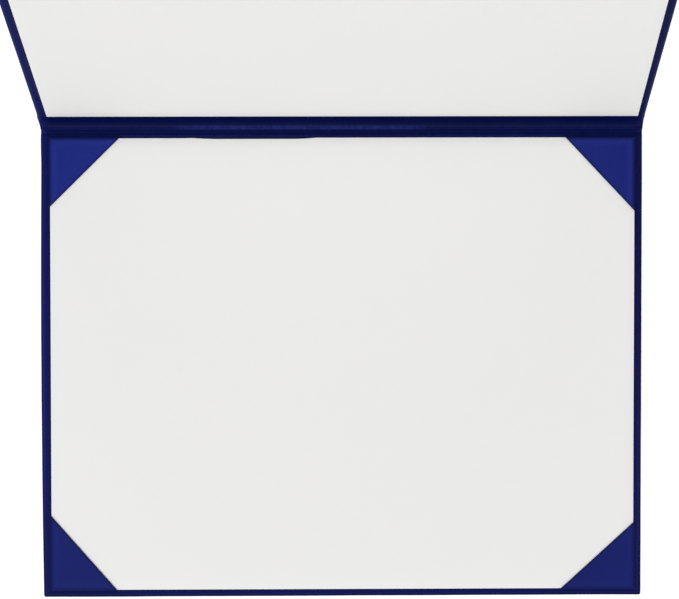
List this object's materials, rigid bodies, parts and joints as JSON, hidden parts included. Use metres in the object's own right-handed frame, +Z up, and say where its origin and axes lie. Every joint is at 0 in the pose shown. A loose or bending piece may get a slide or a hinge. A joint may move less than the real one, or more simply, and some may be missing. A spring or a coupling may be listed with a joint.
{
  "type": "diploma cover",
  "caption": "Hinged presentation cover in smooth navy leatherette, white lined inside, with corner pockets that hold a letter-size diploma.",
  "frame": {"origin": "centre of the lower panel's underside, which lies on the table", "axes": "+Z up, +Y from the free edge to the hinge, +X to the right along the hinge"},
  "size_m": [0.292, 0.3375, 0.2082],
  "materials": {
    "greyboard": "matte",
    "leatherette": "satin",
    "hinge_leatherette": "satin",
    "pocket_leatherette": "satin",
    "lining_card": "matte"
  },
  "bodies": {
    "lower_panel": {"lower_board": "greyboard", "lower_wrap": "leatherette", "lower_lining": "lining_card", "spine_wrap": "leatherette", "hinge_lining": "hinge_leatherette", "corner_pocket_hinge_left": "pocket_leatherette", "corner_pocket_hinge_right": "pocket_leatherette", "corner_pocket_free_left": "pocket_leatherette", "corner_pocket_free_right": "pocket_leatherette"},
    "upper_panel": {"upper_board": "greyboard", "upper_wrap": "leatherette", "upper_lining": "lining_card"}
  },
  "joints": [
    {"name": "cover_hinge", "type": "hinge", "parent": "lower_panel", "child": "upper_panel", "pos_m": [0, 0.11705, 0.0049], "axis": [-1, 0, 0], "range_deg": [-117, 63], "deforming": ["spine_wrap", "hinge_lining"]}
  ]
}
